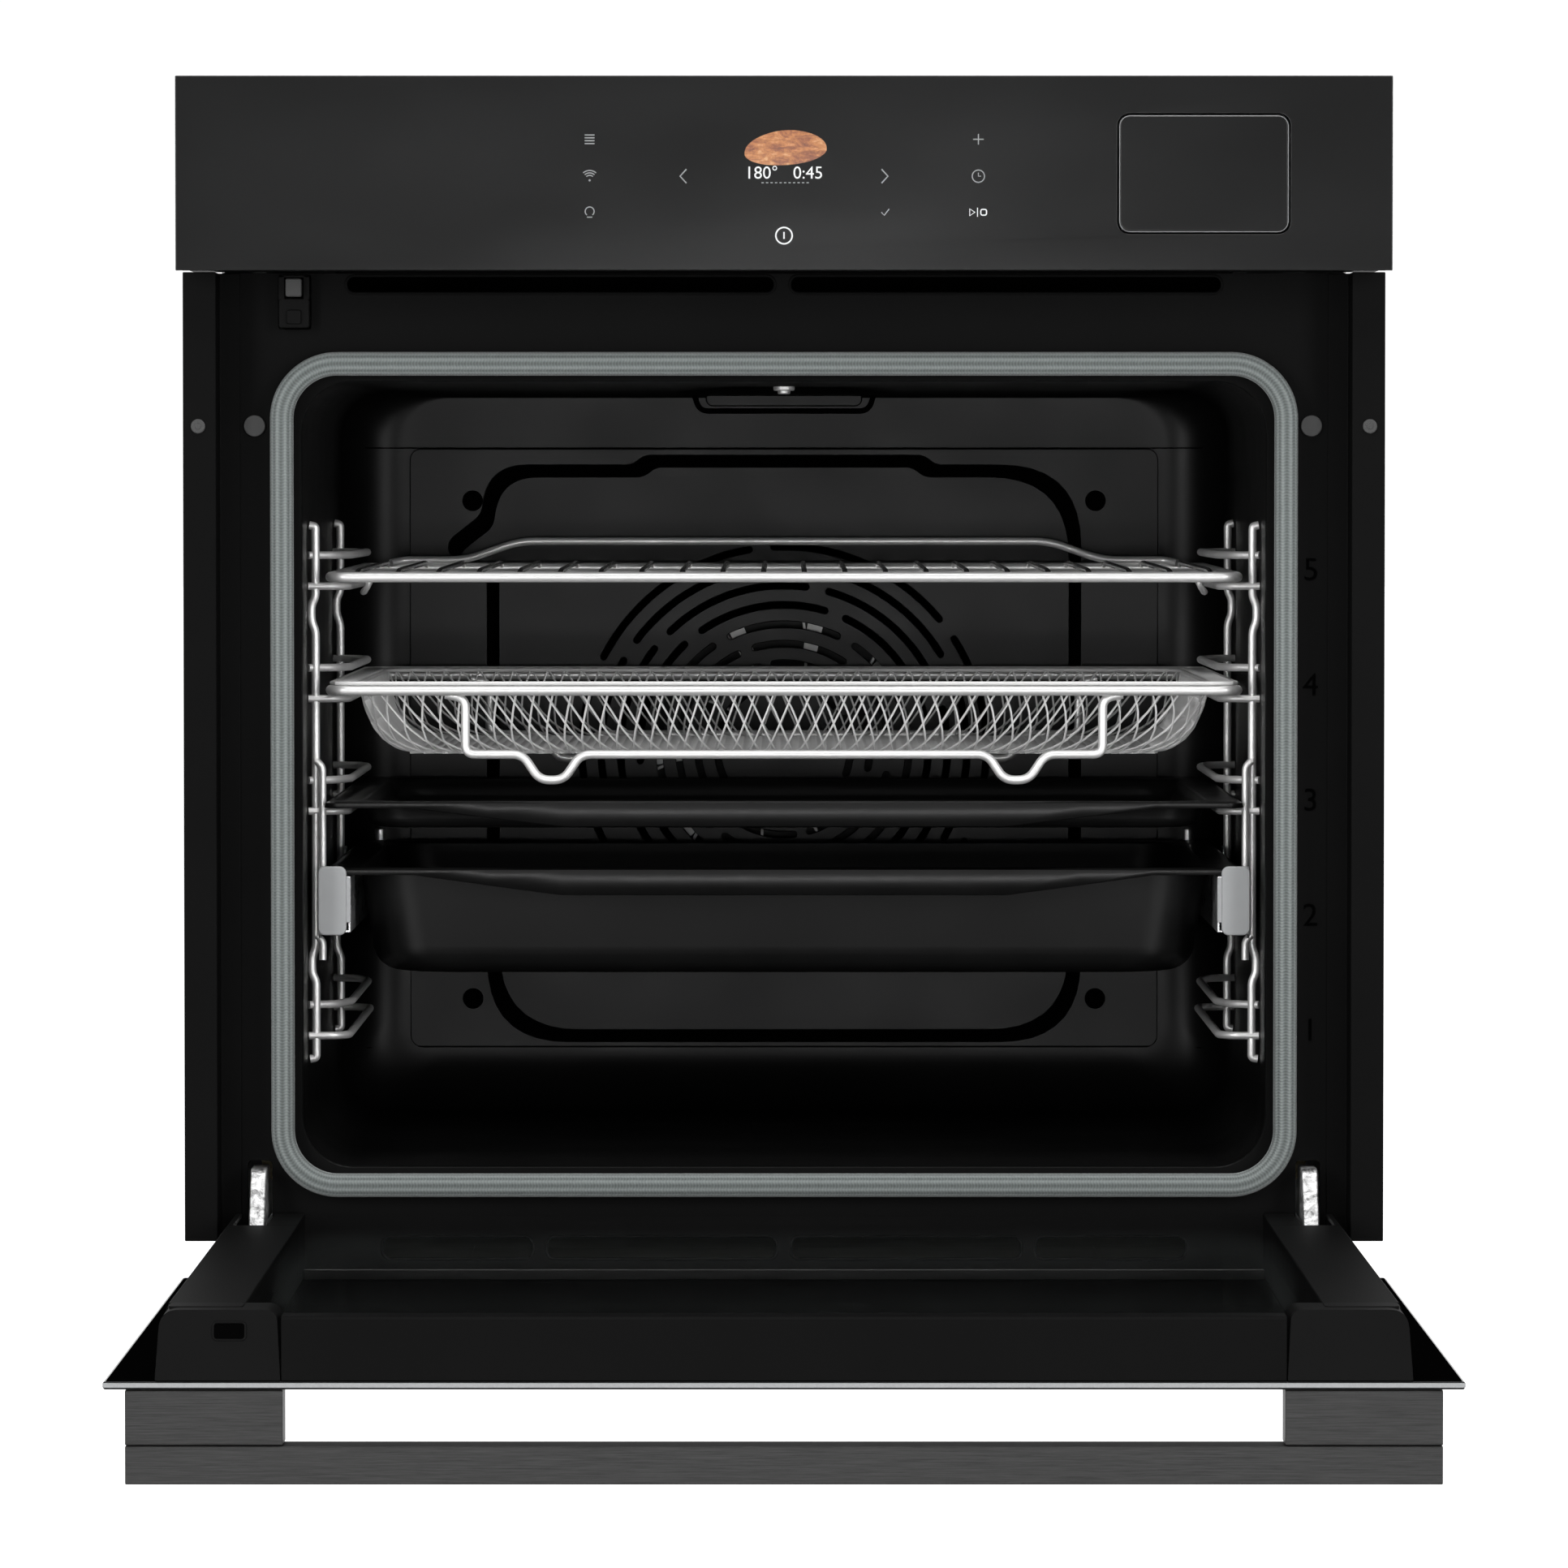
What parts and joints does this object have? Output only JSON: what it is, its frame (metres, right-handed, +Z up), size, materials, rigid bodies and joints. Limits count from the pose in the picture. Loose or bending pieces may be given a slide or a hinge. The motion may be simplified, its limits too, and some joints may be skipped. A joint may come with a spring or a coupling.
{
  "type": "wall oven",
  "caption": "Built-in 60 cm wall oven with a fold-down door, bar handle, wire side racks, shelf, frying basket, trays on runners and a water tank.",
  "frame": {"origin": "centre of the underside of the base plate, between the front plate and the back cover", "axes": "+X to the right seen from the front, +Y from the door towards the back of the cabinet, +Z up"},
  "size_m": [0.595, 1.031, 0.6367],
  "materials": {
    "zinc": "galvanised, satin",
    "dark_paint": "satin enamel",
    "black_glass": "back-printed black glass, gloss",
    "clear_glass": "clear, gloss",
    "black_enamel": "semi-gloss enamel",
    "wool": "glass wool",
    "braid": "woven glass-fibre braid",
    "bright_steel": "electropolished wire",
    "aluminium": "satin",
    "grey_plastic": "satin",
    "dark_plastic": "satin",
    "black_steel": "brushed, black tinted"
  },
  "bodies": {
    "chassis": {"base_plate": "zinc", "side_panel_left": "zinc", "side_panel_right": "zinc", "back_cover": "zinc", "top_cover": "zinc", "fan_motor": "zinc", "blower_housing": "zinc", "outer_runner_left": "zinc", "outer_runner_right": "zinc", "hinge_arm_left": "zinc", "hinge_arm_right": "zinc", "front_frame": "dark_paint", "trim_left": "dark_paint", "trim_right": "dark_paint", "control_fascia": "black_glass", "cavity_wrap": "black_enamel", "cavity_back": "black_enamel", "rear_panel": "black_enamel", "insulation": "wool", "door_seal": "braid", "ring_element": "bright_steel", "top_element": "bright_steel", "bottom_element": "bright_steel", "side_rack_left": "bright_steel", "side_rack_right": "bright_steel", "steam_generator": "aluminium", "control_box": "grey_plastic", "tank_sleeve": "grey_plastic", "fascia_support": "dark_plastic", "display_module": "dark_plastic", "mains_terminal": "dark_plastic", "lock_housing": "dark_plastic"},
    "door": {"outer_glass": "black_glass", "middle_glass": "clear_glass", "inner_glass": "clear_glass", "side_profile_left": "dark_paint", "side_profile_right": "dark_paint", "top_profile": "dark_paint", "corner_cap_left": "dark_plastic", "corner_cap_right": "dark_plastic", "bottom_rail": "aluminium", "hinge_body_left": "zinc", "hinge_body_right": "zinc", "handle_bar": "black_steel", "handle_post_left": "black_steel", "handle_post_right": "black_steel"},
    "wire_shelf": {"wire_shelf": "bright_steel"},
    "basket": {"basket_frame": "bright_steel", "basket_mesh": "bright_steel"},
    "shallow_tray": {"shallow_tray": "black_enamel"},
    "deep_tray": {"deep_tray": "black_enamel", "inner_runner_left": "zinc", "inner_runner_right": "zinc"},
    "mid_runners": {"mid_runner_left": "zinc", "mid_runner_right": "zinc"},
    "water_tank": {"tank_body": "grey_plastic", "tank_front": "black_glass"},
    "convection_fan": {"convection_fan": "bright_steel"},
    "blower_wheel": {"blower_wheel": "bright_steel"},
    "lock_plunger": {"lock_plunger": "grey_plastic"}
  },
  "joints": [
    {"name": "door_hinge", "type": "hinge", "parent": "chassis", "child": "door", "pos_m": [0, -0.28975, 0.01825], "axis": [-1, 0, 0], "range_deg": [0, 90]},
    {"name": "wire_shelf_slide", "type": "slide", "parent": "chassis", "child": "wire_shelf", "axis": [0, 1, 0], "range_m": [-0.24, 0]},
    {"name": "basket_slide", "type": "slide", "parent": "chassis", "child": "basket", "axis": [0, 1, 0], "range_m": [-0.24, 0]},
    {"name": "shallow_tray_slide", "type": "slide", "parent": "chassis", "child": "shallow_tray", "axis": [0, 1, 0], "range_m": [-0.24, 0]},
    {"name": "deep_tray_slide", "type": "slide", "parent": "chassis", "child": "deep_tray", "axis": [0, 1, 0], "range_m": [-0.32, 0]},
    {"name": "mid_runner_slide", "type": "slide", "parent": "chassis", "child": "mid_runners", "axis": [0, 1, 0], "range_m": [-0.16, 0]},
    {"name": "water_tank_slide", "type": "slide", "parent": "chassis", "child": "water_tank", "axis": [0, 1, 0], "range_m": [-0.22, 0]},
    {"name": "lock_plunger_slide", "type": "slide", "parent": "chassis", "child": "lock_plunger", "axis": [0, 1, 0], "range_m": [0, 0.003], "stiffness_N_per_m": 300},
    {"name": "convection_fan_spin", "type": "hinge", "parent": "chassis", "child": "convection_fan", "pos_m": [0, 0.18, 0.252], "axis": [0, 1, 0], "continuous": true},
    {"name": "blower_spin", "type": "hinge", "parent": "chassis", "child": "blower_wheel", "pos_m": [-0.07, 0.044, 0.508], "axis": [0, 0, 1], "continuous": true}
  ],
  "couplings": [
    {"joint": "mid_runner_slide", "follows": "deep_tray_slide", "ratio": 0.5}
  ]
}
